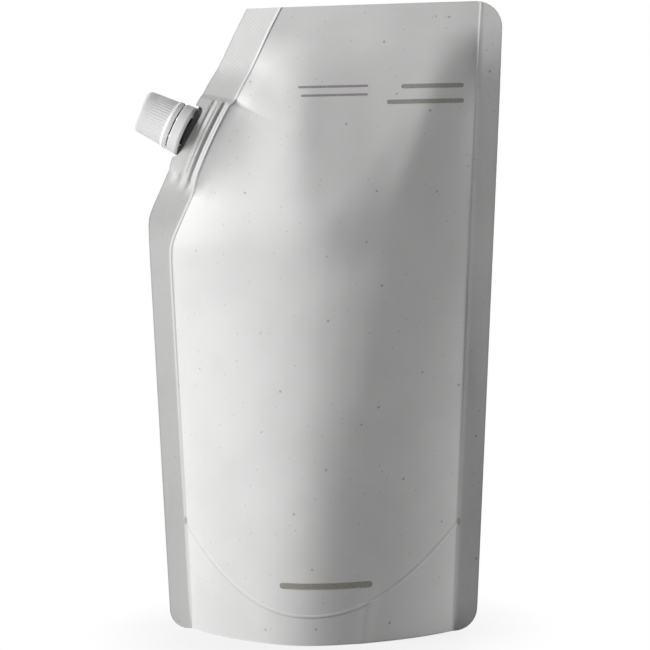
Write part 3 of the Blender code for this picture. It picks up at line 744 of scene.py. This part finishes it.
def make_boat(film, spout):
    """The weld base, from the bore out to the boat's outline: its wall has shallow ribs."""
    half = 60
    s = np.cos(np.linspace(0.0, math.pi, half))
    s = np.concatenate([s, s[::-1]]) * spout.boat_half_length
    side = np.concatenate([np.ones(half), -np.ones(half)])
    foot = -spout.boat_top - spout.boat_depth
    pitch = spout.boat_depth / (2 * spout.ribs + 1)
    ramp = 0.12 * MM
    levels, draws = [], []
    for step in range(2 * spout.ribs + 1):
        draw = 0.0 if step % 2 else spout.rib_height
        levels += [foot + step * pitch + ramp * (step > 0), foot + (step + 1) * pitch - ramp]
        draws += [draw, draw]
    levels[-1] = -spout.boat_top
    wall_y = boat_half(spout, s, 0.0, 0.0)
    bore = spout.neck - spout.clearance
    angles = np.arccos(np.clip(s / spout.boat_half_length, -1.0, 1.0)) * side
    inner = np.stack([bore * np.cos(angles), bore * np.sin(angles)], -1)
    columns = [np.column_stack([inner, np.full(len(s), foot)])]
    for level, draw in zip(levels, draws):
        columns.append(np.column_stack([s, side * (wall_y - draw), np.full(len(s), level)]))
    columns.append(np.column_stack([inner, np.full(len(s), -spout.boat_top)]))
    points = np.stack(columns, 1)
    quads = grid_quads(*points.shape[:2], 0, wrap_rows=True, wrap_columns=True)
    piece = mesh_piece("weld_base", to_world(film, points.reshape(-1, 3)), quads)
    tidy_mesh(piece, sharp=35.0)
    return piece


def make_band(film, cap):
    steps = 192
    turn = np.linspace(0.0, 2.0 * math.pi, steps, endpoint=False)
    top = cap.band_foot + cap.band_length
    edge = 0.2 * MM
    rim_inner = cap.band_rim - cap.band_wall
    top_inner = cap.band_top - cap.band_wall
    profile = [
        (cap.band_top - edge, top),
        (cap.band_top, top - edge),
        (cap.band_rim, cap.band_foot + 0.8 * MM),
        (cap.band_rim - edge, cap.band_foot),
        (rim_inner, cap.band_foot),
        (rim_inner, cap.lip_foot),
        (cap.lip_radius + edge, cap.lip_foot),
        (cap.lip_radius, cap.lip_top),
        (top_inner, cap.lip_top),
        (top_inner, top),
        (cap.band_top - edge, top),
    ]
    line = densify(profile, PROFILE_STEP)[:-1]
    radius = np.broadcast_to(line[:, 0], (steps, len(line)))
    height = np.broadcast_to(line[:, 1], (steps, len(line))).copy()
    spacing = 2.0 * math.pi / cap.bridges
    off = np.abs((turn % spacing) - spacing / 2) * cap.band_top
    bridge = (off < cap.bridge_width / 2).astype(float)[:, None]
    crown = (np.abs(line[:, 1] - top) < 1e-6) & (line[:, 0] > top_inner + edge)
    height = height + bridge * crown * cap.bridge_height
    return turned_piece("tamper_ring", film, radius, height, turn, True, 35.0)


def cap_outside(cap, height):
    """Radius of the barrel at a height: straight from the rim to the tip."""
    share = (height - cap.cap_foot - cap.rim_height) / (cap.cap_length - cap.rim_height)
    return cap.foot_radius + (cap.tip_radius - cap.foot_radius) * share


def make_cap(film, spout, cap):
    steps = cap.ribs * 10
    turn = np.linspace(0.0, 2.0 * math.pi, steps, endpoint=False)
    tip = cap.cap_foot + cap.cap_length
    rib_foot = cap.cap_foot + cap.rim_height
    rib_top = tip - cap.tip_rounding
    ceiling = tip - cap.end_wall
    arc = np.linspace(math.pi / 2, 0.0, 9)
    plug = spout.bore - spout.clearance
    plug_foot = ceiling - spout.clearance - cap.plug_length
    chamfer = 0.3 * MM
    outside = [(0.0, tip)] + [
        (
            cap_outside(cap, rib_top) - cap.tip_rounding * (1.0 - math.cos(a)),
            rib_top + cap.tip_rounding * math.sin(a),
        )
        for a in arc
    ]
    outside += [
        (cap.foot_radius, rib_foot),
        (cap.rim_radius, rib_foot - 0.6 * MM),
        (cap.rim_radius, cap.cap_foot + 0.15 * MM),
        (cap.rim_radius - 0.15 * MM, cap.cap_foot),
    ]
    inside = [
        (cap.bore_radius, cap.cap_foot),
        (cap.bore_radius, ceiling),
        (plug, ceiling),
        (plug, plug_foot + chamfer),
        (plug - chamfer, plug_foot),
        (plug - cap.plug_wall, plug_foot),
        (plug - cap.plug_wall, ceiling),
        (0.0, ceiling),
    ]
    line = densify(outside + inside, PROFILE_STEP)
    shell = len(densify(outside, PROFILE_STEP))
    radius = np.broadcast_to(line[:, 0], (steps, len(line))).copy()
    height = np.broadcast_to(line[:, 1], (steps, len(line)))
    wave = 0.5 - 0.5 * np.cos(turn * cap.ribs)
    on_barrel = ease(line[:, 1], rib_foot, rib_foot + 0.5 * MM)
    on_barrel = on_barrel * (1.0 - ease(line[:, 1], rib_top - 3.2 * MM, rib_top - 0.6 * MM))
    on_barrel[shell:] = 0.0
    radius -= cap.rib_depth * wave[:, None] * on_barrel
    start = spout.thread_start - spout.thread_pitch / 2
    ridge = thread_height(turn[:, None], height, start, spout.thread_pitch, cap.thread_turns)
    bore = np.zeros(len(line))
    bore[shell:] = np.abs(line[shell:, 0] - cap.bore_radius) < 0.01 * MM
    radius -= spout.thread_depth * ridge * bore
    return turned_piece("screw_cap", film, radius, height, turn, False, 40.0)


# Materials


def feed(tree, socket, value):
    """Joins a socket to another one, or sets its own plain value."""
    if isinstance(value, bpy.types.NodeSocket):
        tree.links.new(value, socket)
    else:
        socket.default_value = value


def mix_colours(tree, factor, a, b):
    node = tree.nodes.new("ShaderNodeMix")
    node.data_type = "RGBA"
    sockets = {s.identifier: s for s in node.inputs}
    for name, value in (("Factor_Float", factor), ("A_Color", a), ("B_Color", b)):
        feed(tree, sockets[name], value)
    return next(s for s in node.outputs if s.identifier == "Result_Color")


class Nodes:
    """Short ways to add and join the nodes of one material."""

    def __init__(self, name):
        self.material = bpy.data.materials.new(name)
        self.material.use_nodes = True
        self.tree = self.material.node_tree
        self.shader = self.tree.nodes["Principled BSDF"]
        coordinates = self.tree.nodes.new("ShaderNodeTexCoord")
        self.place = coordinates.outputs["Object"]

    def join(self, source, target):
        self.tree.links.new(source, target)

    def add(self, kind, settings=(), **inputs):
        node = self.tree.nodes.new(kind)
        for key, value in dict(settings).items():
            setattr(node, key, value)
        for key, value in inputs.items():
            feed(self.tree, node.inputs[key.replace("_", " ")], value)
        return node

    def math(self, operation, a, b=0.0):
        node = self.tree.nodes.new("ShaderNodeMath")
        node.operation = operation
        for socket, value in zip(node.inputs, (a, b)):
            feed(self.tree, socket, value)
        return node.outputs[0]

    def noise(self, scale, detail=3.0, roughness=0.5, place=None):
        node = self.add("ShaderNodeTexNoise", Scale=scale, Detail=detail, Roughness=roughness)
        self.join(place or self.place, node.inputs["Vector"])
        return node.outputs["Fac"]

    def spread(self, value, low, high, to_low=0.0, to_high=1.0):
        node = self.add("ShaderNodeMapRange", {"interpolation_type": "SMOOTHSTEP"})
        ends = {"From Min": low, "From Max": high, "To Min": to_low, "To Max": to_high}
        for key, end in ends.items():
            node.inputs[key].default_value = end
        self.join(value, node.inputs["Value"])
        return node.outputs["Result"]

    def mix(self, factor, a, b):
        return mix_colours(self.tree, factor, a, b)

    def attribute(self, name):
        node = self.tree.nodes.new("ShaderNodeAttribute")
        node.attribute_name = name
        return node.outputs["Fac"]

    def bump(self, height, distance, strength=1.0, normal=None):
        node = self.add("ShaderNodeBump", Strength=strength, Distance=distance)
        self.join(height, node.inputs["Height"])
        if normal is not None:
            self.join(normal, node.inputs["Normal"])
        return node.outputs["Normal"]

    def settle(self, **values):
        for key, value in values.items():
            self.shader.inputs[key.replace("_", " ")].default_value = value


def shade(rgb, factor=1.0):
    return (*(min(1.0, c * factor) for c in rgb), 1.0)


def flecks(nodes, per_metre, size, keep):
    """Sparse round flecks: near the middle of a share of a cell pattern's cells."""
    cells = nodes.add("ShaderNodeTexVoronoi", Scale=per_metre, Randomness=1.0)
    nodes.join(nodes.place, cells.inputs["Vector"])
    pick = nodes.add("ShaderNodeSeparateColor", Color=cells.outputs["Color"])
    chosen = nodes.spread(pick.outputs[0], keep, keep * 0.8)
    wobble = nodes.math("MULTIPLY", nodes.noise(2600.0, 2.0), size * 0.9)
    reach = nodes.math("ADD", wobble, size * 0.5)
    inside = nodes.math("SUBTRACT", reach, cells.outputs["Distance"])
    return nodes.math("MULTIPLY", nodes.spread(inside, -0.15 * size, 0.35 * size), chosen)


def gusset_line(nodes, film):
    """1 along the gusset's seal line and 0 off it: the line climbs from the skirt's height in
    the middle to the gusset's at the side seals, by a power of the share across."""
    apart = nodes.add("ShaderNodeSeparateXYZ")
    nodes.join(nodes.place, apart.inputs["Vector"])
    x, z = apart.outputs["X"], apart.outputs["Z"]
    lean = (film.right_spread - film.left_spread) / 2 / film.height
    spread = (film.right_spread + film.left_spread) / 2 / film.height
    centred = nodes.math("SUBTRACT", x, nodes.math("MULTIPLY", z, lean))
    half = nodes.math("ADD", nodes.math("MULTIPLY", z, spread), film.base_width / 2 - film.side_seal)
    share = nodes.math("ABSOLUTE", nodes.math("DIVIDE", centred, half))
    climb = nodes.math("POWER", share, film.skirt_power)
    rise = nodes.math("MULTIPLY", climb, film.gusset_height - film.skirt_height)
    line = nodes.math("ADD", rise, film.skirt_height)
    off = nodes.math("ABSOLUTE", nodes.math("SUBTRACT", z, line))
    steep = nodes.math("ADD", nodes.math("MULTIPLY", share, 0.9), 1.0)
    near = nodes.spread(nodes.math("DIVIDE", off, steep), 0.75 * MM, 0.1 * MM)
    return nodes.math("MULTIPLY", near, nodes.spread(share, 1.0, 0.99))


def notch_shade_spots(nodes, film):
    """1 on three small upright spots of painted shade: where the gusset's seal meets each side seal,
    and at a nick in the right edge."""
    spots = 0.0
    nick = 30.5 * MM
    places = (
        (float(inner_left(film, film.gusset_height)), film.gusset_height, 0.8 * MM),
        (float(inner_right(film, film.gusset_height)), film.gusset_height, 0.8 * MM),
        (float(outer_right(film, nick)), nick, 0.7 * MM),
    )
    squash = 0.4
    flat = nodes.add("ShaderNodeMapping")
    flat.inputs["Scale"].default_value = (1.0, 0.3, squash)
    nodes.join(nodes.place, flat.inputs["Vector"])
    for x, z, radius in places:
        away = nodes.add("ShaderNodeVectorMath", {"operation": "DISTANCE"})
        nodes.join(flat.outputs["Vector"], away.inputs[0])
        away.inputs[1].default_value = (x, 0.0, z * squash)
        near = nodes.spread(away.outputs["Value"], radius, radius * 0.5)
        spots = nodes.math("MAXIMUM", near, spots)
    return spots


def film_material(film):
    """Satin pale grey film: fine grain, soft clouding, sparse dark flecks, knurled seals, painted shade in
    the weld's grooves and at three small notches, and painted light over the slanted seal.
    """
    nodes = Nodes("pouch_film_finish")
    cloud = nodes.noise(38.0, 3.0, 0.55)
    grain = nodes.noise(2100.0, 2.0, 0.6)
    tone = nodes.math("ADD", nodes.spread(cloud, 0.3, 0.7, -0.5, 0.5), nodes.math("MULTIPLY", grain, 1.2))
    base = nodes.mix(
        nodes.spread(tone, -0.2, 1.4), shade(film.film_colour, 0.965), shade(film.film_colour, 1.035)
    )
    fine = flecks(nodes, 420.0, 0.14, 0.26)
    large = flecks(nodes, 165.0, 0.095, 0.5)
    flecks_and_shade_spots = nodes.math("MAXIMUM", nodes.math("MULTIPLY", fine, 0.62), large)
    # Adds three spots of painted shade, at the notches, to the real flecks.
    flecks_and_shade_spots = nodes.math("MAXIMUM", flecks_and_shade_spots, notch_shade_spots(nodes, film))
    base = nodes.mix(nodes.math("MULTIPLY", flecks_and_shade_spots, 0.7), base, shade(film.fleck_and_shade_colour))
    # Painted light: the slanted seal is lightened towards a brighter copy of the film colour.
    pressed = nodes.math("MULTIPLY", nodes.attribute("pressed"), 0.7)
    base = nodes.mix(pressed, base, shade(film.film_colour, 1.16))
    # Painted shade: the weld's grooves are darkened towards the fleck colour.
    groove = nodes.math("MULTIPLY", nodes.attribute("groove"), 0.4)
    base = nodes.mix(groove, base, shade(film.fleck_and_shade_colour))
    base = nodes.mix(
        nodes.math("MULTIPLY", nodes.attribute("cut_edge"), 0.7), base, shade(film.edge_colour)
    )
    nodes.join(base, nodes.shader.inputs["Base Color"])
    rough = nodes.spread(nodes.math("ADD", grain, cloud), 0.7, 1.3, 0.4, 0.5)
    nodes.join(rough, nodes.shader.inputs["Roughness"])
    turned = nodes.add("ShaderNodeMapping")
    turned.inputs["Rotation"].default_value = (0.0, math.radians(47.0), 0.0)
    nodes.join(nodes.place, turned.inputs["Vector"])
    lines = nodes.add(
        "ShaderNodeTexWave",
        {"wave_type": "BANDS", "bands_direction": "X", "wave_profile": "SIN"},
        Scale=2.0 * math.pi / 20.0 / 0.00105,
        Distortion=0.6,
        Detail=1.0,
        Detail_Scale=2.0,
    )
    nodes.join(turned.outputs["Vector"], lines.inputs["Vector"])
    knurl = nodes.math("MULTIPLY", lines.outputs["Fac"], nodes.attribute("knurl"))
    normal = nodes.bump(knurl, 0.000035, 0.45)
    normal = nodes.bump(gusset_line(nodes, film), 0.00025, 0.9, normal)
    wrinkle = nodes.math("MULTIPLY", nodes.noise(260.0, 3.0, 0.6), nodes.attribute("seal"))
    normal = nodes.bump(wrinkle, 0.00012, 0.7, normal)
    soft = nodes.noise(55.0, 2.0, 0.5)
    normal = nodes.bump(soft, 0.0005, 0.35, normal)
    normal = nodes.bump(grain, 0.00002, 0.5, normal)
    nodes.join(normal, nodes.shader.inputs["Normal"])
    nodes.settle(Specular_IOR_Level=0.25)
    return nodes.material


def moulded_material(name, rgb, roughness, wear):
    """Moulded plastic: faint clouding of the colour, a fine spark-eroded grain and scuffs."""
    nodes = Nodes(name)
    cloud = nodes.noise(160.0, 4.0, 0.6)
    base = nodes.mix(nodes.spread(cloud, 0.35, 0.7), shade(rgb, 1.0 - wear), shade(rgb, 1.0 + wear / 2))
    nodes.join(base, nodes.shader.inputs["Base Color"])
    scuff = nodes.noise(900.0, 3.0, 0.7)
    rough = nodes.spread(scuff, 0.3, 0.8, roughness - 0.05, roughness + 0.1)
    nodes.join(rough, nodes.shader.inputs["Roughness"])
    normal = nodes.bump(nodes.noise(2800.0, 2.0, 0.5), 0.00002, 0.5)
    normal = nodes.bump(nodes.noise(140.0, 2.0, 0.5), 0.0001, 0.3, normal)
    nodes.join(normal, nodes.shader.inputs["Normal"])
    return nodes.material


def ink_material(rgb):
    """Printed ink: dark, with a thin uneven cover and a rougher face than the film."""
    nodes = Nodes("print_ink")
    cover = nodes.noise(1500.0, 3.0, 0.6)
    base = nodes.mix(nodes.spread(cover, 0.35, 0.75), shade(rgb), shade(rgb, 1.35))
    nodes.join(base, nodes.shader.inputs["Base Color"])
    nodes.join(nodes.spread(cover, 0.3, 0.8, 0.5, 0.6), nodes.shader.inputs["Roughness"])
    nodes.join(nodes.bump(cover, 0.00001, 0.4), nodes.shader.inputs["Normal"])
    return nodes.material


def finish_piece(piece, material, body, node=None):
    piece.data.materials.clear()
    piece.data.materials.append(material)
    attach(piece, body)
    if node is not None:
        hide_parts(node)


# Print marks

# Each bar is (right end, height of its middle, length, thickness), in millimetres on the film
BARS = (
    (54.2, 192.9, 21.5, 1.5),
    (54.2, 187.6, 26.5, 1.5),
    (21.0, 193.4, 24.6, 0.8),
    (21.0, 190.4, 23.4, 0.8),
    (21.3, 20.9, 32.0, 2.1),
)


def make_marks(film, spout, marks):
    """Plain printed bars with round ends: each is a thin closed slab that follows the front
    film, from just over it to the print's lift."""
    rows, columns = 9, 49
    points, quads, ends, first = [], [], [], 0
    for right, middle, size, thickness in BARS:
        half = thickness * MM / 2
        run = 0.5 - 0.5 * np.cos(np.linspace(0.0, math.pi, columns))
        x = (right - size * (1.0 - run)) * MM
        from_end = np.minimum(run, 1.0 - run) * size * MM
        tall = half - corner_inset(from_end, half)
        share = np.linspace(-1.0, 1.0, rows)[:, None]
        z = middle * MM + share * np.maximum(tall, 0.02 * MM)
        x = np.broadcast_to(x, z.shape)
        over = film_point(film, spout, x, z, -1)
        under = over.copy()
        over[..., 1] -= marks.lift
        under[..., 1] -= marks.lift / 4
        slab = np.concatenate([over, under[::-1]], 0)
        points.append(slab.reshape(-1, 3))
        quads.append(grid_quads(2 * rows, columns, first, wrap_rows=True))
        index = first + np.arange(2 * rows * columns).reshape(2 * rows, columns)
        ends += [index[:, 0], index[::-1, -1]]
        first += 2 * rows * columns
    piece = mesh_piece("print_bars", np.concatenate(points), np.concatenate(quads), ends)
    tidy_mesh(piece, sharp=60.0)
    return piece


# Operators


class MakeFilm(bpy.types.Operator):
    """Builds the film bag, with its seals, gusset, weld and folds"""

    bl_idname = "refill_pouch.make_film"
    bl_label = "Film bag"

    def execute(self, context):
        film, spout = context.scene.refill_film, context.scene.refill_spout
        piece = make_film(film, spout)
        finish_piece(piece, film_material(film), "pouch", "pouch")
        return {"FINISHED"}


class MakeSpout(bpy.types.Operator):
    """Builds the spout's threaded neck and its weld base"""

    bl_idname = "refill_pouch.make_spout"
    bl_label = "Spout"

    def execute(self, context):
        film, spout = context.scene.refill_film, context.scene.refill_spout
        finish = moulded_material("spout_finish", spout.spout_colour, 0.42, 0.06)
        finish_piece(make_neck(film, spout), finish, "pouch", "spout")
        finish_piece(make_boat(film, spout), finish, "pouch")
        return {"FINISHED"}


class MakeClosure(bpy.types.Operator):
    """Builds the tamper band and the ribbed screw cap"""

    bl_idname = "refill_pouch.make_closure"
    bl_label = "Band and cap"

    def execute(self, context):
        scene = context.scene
        film, spout, cap = scene.refill_film, scene.refill_spout, scene.refill_cap
        finish = moulded_material("cap_finish", cap.cap_colour, 0.36, 0.02)
        finish_piece(make_band(film, cap), finish, "tamper_band", "tamper_band")
        finish_piece(make_cap(film, spout, cap), finish, "cap", "cap")
        return {"FINISHED"}


class MakeMarks(bpy.types.Operator):
    """Prints plain bars where the pack has its lines of print"""

    bl_idname = "refill_pouch.make_marks"
    bl_label = "Print marks"

    def execute(self, context):
        scene = context.scene
        piece = make_marks(scene.refill_film, scene.refill_spout, scene.refill_marks)
        finish_piece(piece, ink_material(scene.refill_marks.ink_colour), "pouch")
        return {"FINISHED"}


WHITE = (1.0, 1.0, 1.0, 1.0)

# Each lamp is (name, azimuth, elevation, distance in metres, width and height, its power)
LAMPS = (
    ("key", -65.0, 23.0, 1.1, (0.4, 0.6), "key_power"),
    ("fill", 99.0, 21.0, 0.7, (0.25, 0.3), "fill_power"),
    ("back", 178.0, 6.0, 1.0, (0.4, 0.5), "back_power"),
)
LAMP_AIM = (0.0, 0.0, 0.11)


def any_seen_ray(tree):
    """1 for rays from the camera, and for those that a gloss or a clear piece sends on."""
    path = tree.nodes.new("ShaderNodeLightPath")
    total = path.outputs["Is Camera Ray"]
    for name in ("Is Glossy Ray", "Is Transmission Ray"):
        node = tree.nodes.new("ShaderNodeMath")
        node.operation = "MAXIMUM"
        tree.links.new(total, node.inputs[0])
        tree.links.new(path.outputs[name], node.inputs[1])
        total = node.outputs[0]
    return total


def make_world(studio):
    world = bpy.data.worlds.new("studio")
    world.use_nodes = True
    bpy.context.scene.world = world
    tree = world.node_tree
    dim = (studio.ambient, studio.ambient, studio.ambient, 1.0)
    around = mix_colours(tree, any_seen_ray(tree), dim, WHITE)
    tree.links.new(around, tree.nodes["Background"].inputs["Color"])


def make_floor(studio):
    """A round pale floor: near the pouch it takes the shadow, further out it is white."""
    turn = np.linspace(0.0, 2.0 * math.pi, 64, endpoint=False)
    reach = np.array([0.0, 0.1, 0.25, 0.5, 1.0, 2.0, 4.0])
    radius = np.broadcast_to(reach, (64, len(reach)))
    points = np.stack(
        [radius * np.cos(turn[:, None]), radius * np.sin(turn[:, None]), 0.0 * radius - studio.floor_gap], -1
    )
    quads = grid_quads(64, len(reach), 0, wrap_rows=True)
    floor = mesh_piece("floor", points, quads)
    tidy_mesh(floor)
    if floor.data.polygons[0].normal.z < 0.0:
        floor.data.flip_normals()
    nodes = Nodes("studio_floor")
    nodes.shader.inputs["Base Color"].default_value = shade(studio.floor_colour)
    nodes.settle(Roughness=0.8)
    distance = nodes.add("ShaderNodeVectorMath", {"operation": "LENGTH"})
    nodes.join(nodes.place, distance.inputs[0])
    far = nodes.spread(distance.outputs["Value"], 0.035, 0.1, 0.82, 1.03)
    seen = nodes.math("MULTIPLY", any_seen_ray(nodes.tree), far)
    glow = nodes.add("ShaderNodeEmission", Color=WHITE, Strength=1.0)
    mix = nodes.tree.nodes.new("ShaderNodeMixShader")
    nodes.join(seen, mix.inputs["Fac"])
    nodes.join(nodes.shader.outputs["BSDF"], mix.inputs[1])
    nodes.join(glow.outputs["Emission"], mix.inputs[2])
    output = nodes.tree.nodes["Material Output"]
    nodes.join(mix.outputs["Shader"], output.inputs["Surface"])
    floor.data.materials.append(nodes.material)


def make_lamp(name, azimuth, elevation, distance, size, power):
    """An area lamp at an angle round its aim and over the floor. Its power is given for a
    distance of one metre, so that moving it away leaves the light at its aim the same."""
    a, e = math.radians(azimuth), math.radians(elevation)
    away = Vector((math.sin(a) * math.cos(e), -math.cos(a) * math.cos(e), math.sin(e)))
    data = bpy.data.lights.new(name, "AREA")
    data.shape = "RECTANGLE"
    data.size, data.size_y = size
    data.energy = power * distance**2
    lamp = bpy.data.objects.new(name, data)
    bpy.context.scene.collection.objects.link(lamp)
    lamp.location = Vector(LAMP_AIM) + away * distance
    lamp.rotation_euler = away.to_track_quat("Z", "Y").to_euler()


def make_camera(studio):
    azimuth = studio.azimuth
    place = Vector((
        math.sin(azimuth) * studio.distance,
        -math.cos(azimuth) * studio.distance,
        studio.camera_height,
    ))
    forward = (Vector((studio.aim_x, 0.0, studio.aim_z)) - place).normalized()
    right = forward.cross(Vector((0.0, 0.0, 1.0))).normalized()
    up = right.cross(forward)
    c, s = math.cos(studio.roll), math.sin(studio.roll)
    across, upwards = right * c - up * s, right * s + up * c
    data = bpy.data.cameras.new("camera")
    data.sensor_width = 36.0
    data.lens = studio.focal_pixels * data.sensor_width
    data.clip_start, data.clip_end = 0.05, 20.0
    camera = bpy.data.objects.new("camera", data)
    bpy.context.scene.collection.objects.link(camera)
    turn = Matrix((across, upwards, -forward)).transposed()
    camera.matrix_world = Matrix.Translation(place) @ turn.to_4x4()
    bpy.context.scene.camera = camera


class MakeStudio(bpy.types.Operator):
    """Sets the pale floor, the soft lamps, the white surroundings and the camera"""

    bl_idname = "refill_pouch.make_studio"
    bl_label = "Studio"

    def execute(self, context):
        studio = context.scene.refill_studio
        make_world(studio)
        make_floor(studio)
        for *place, power in LAMPS:
            make_lamp(*place, getattr(studio, power))
        make_camera(studio)
        context.scene.view_settings.view_transform = "Standard"
        return {"FINISHED"}


class RefillPouchPanel(bpy.types.Panel):
    """Lists the steps that build the pouch"""

    bl_idname = "VIEW3D_PT_refill_pouch"
    bl_label = "Refill pouch"
    bl_space_type = "VIEW_3D"
    bl_region_type = "UI"
    bl_category = "Refill pouch"

    def draw(self, context):
        for operator in (MakeFilm, MakeSpout, MakeClosure, MakeMarks, MakeStudio):
            self.layout.operator(operator.bl_idname)


SETTINGS = {
    "refill_film": FilmSettings,
    "refill_spout": SpoutSettings,
    "refill_cap": CapSettings,
    "refill_marks": MarkSettings,
    "refill_studio": StudioSettings,
}
CLASSES = (
    *SETTINGS.values(),
    MakeFilm,
    MakeSpout,
    MakeClosure,
    MakeMarks,
    MakeStudio,
    RefillPouchPanel,
)


def register():
    for cls in CLASSES:
        bpy.utils.register_class(cls)
    for name, group in SETTINGS.items():
        setattr(bpy.types.Scene, name, PointerProperty(type=group))


def unregister():
    for name in SETTINGS:
        delattr(bpy.types.Scene, name)
    for cls in reversed(CLASSES):
        bpy.utils.unregister_class(cls)


def main():
    register()
    bpy.ops.refill_pouch.make_film()
    bpy.ops.refill_pouch.make_spout()
    bpy.ops.refill_pouch.make_closure()
    bpy.ops.refill_pouch.make_marks()
    bpy.ops.refill_pouch.make_studio()
    bpy.context.view_layer.update()


if __name__ == "__main__":
    main()
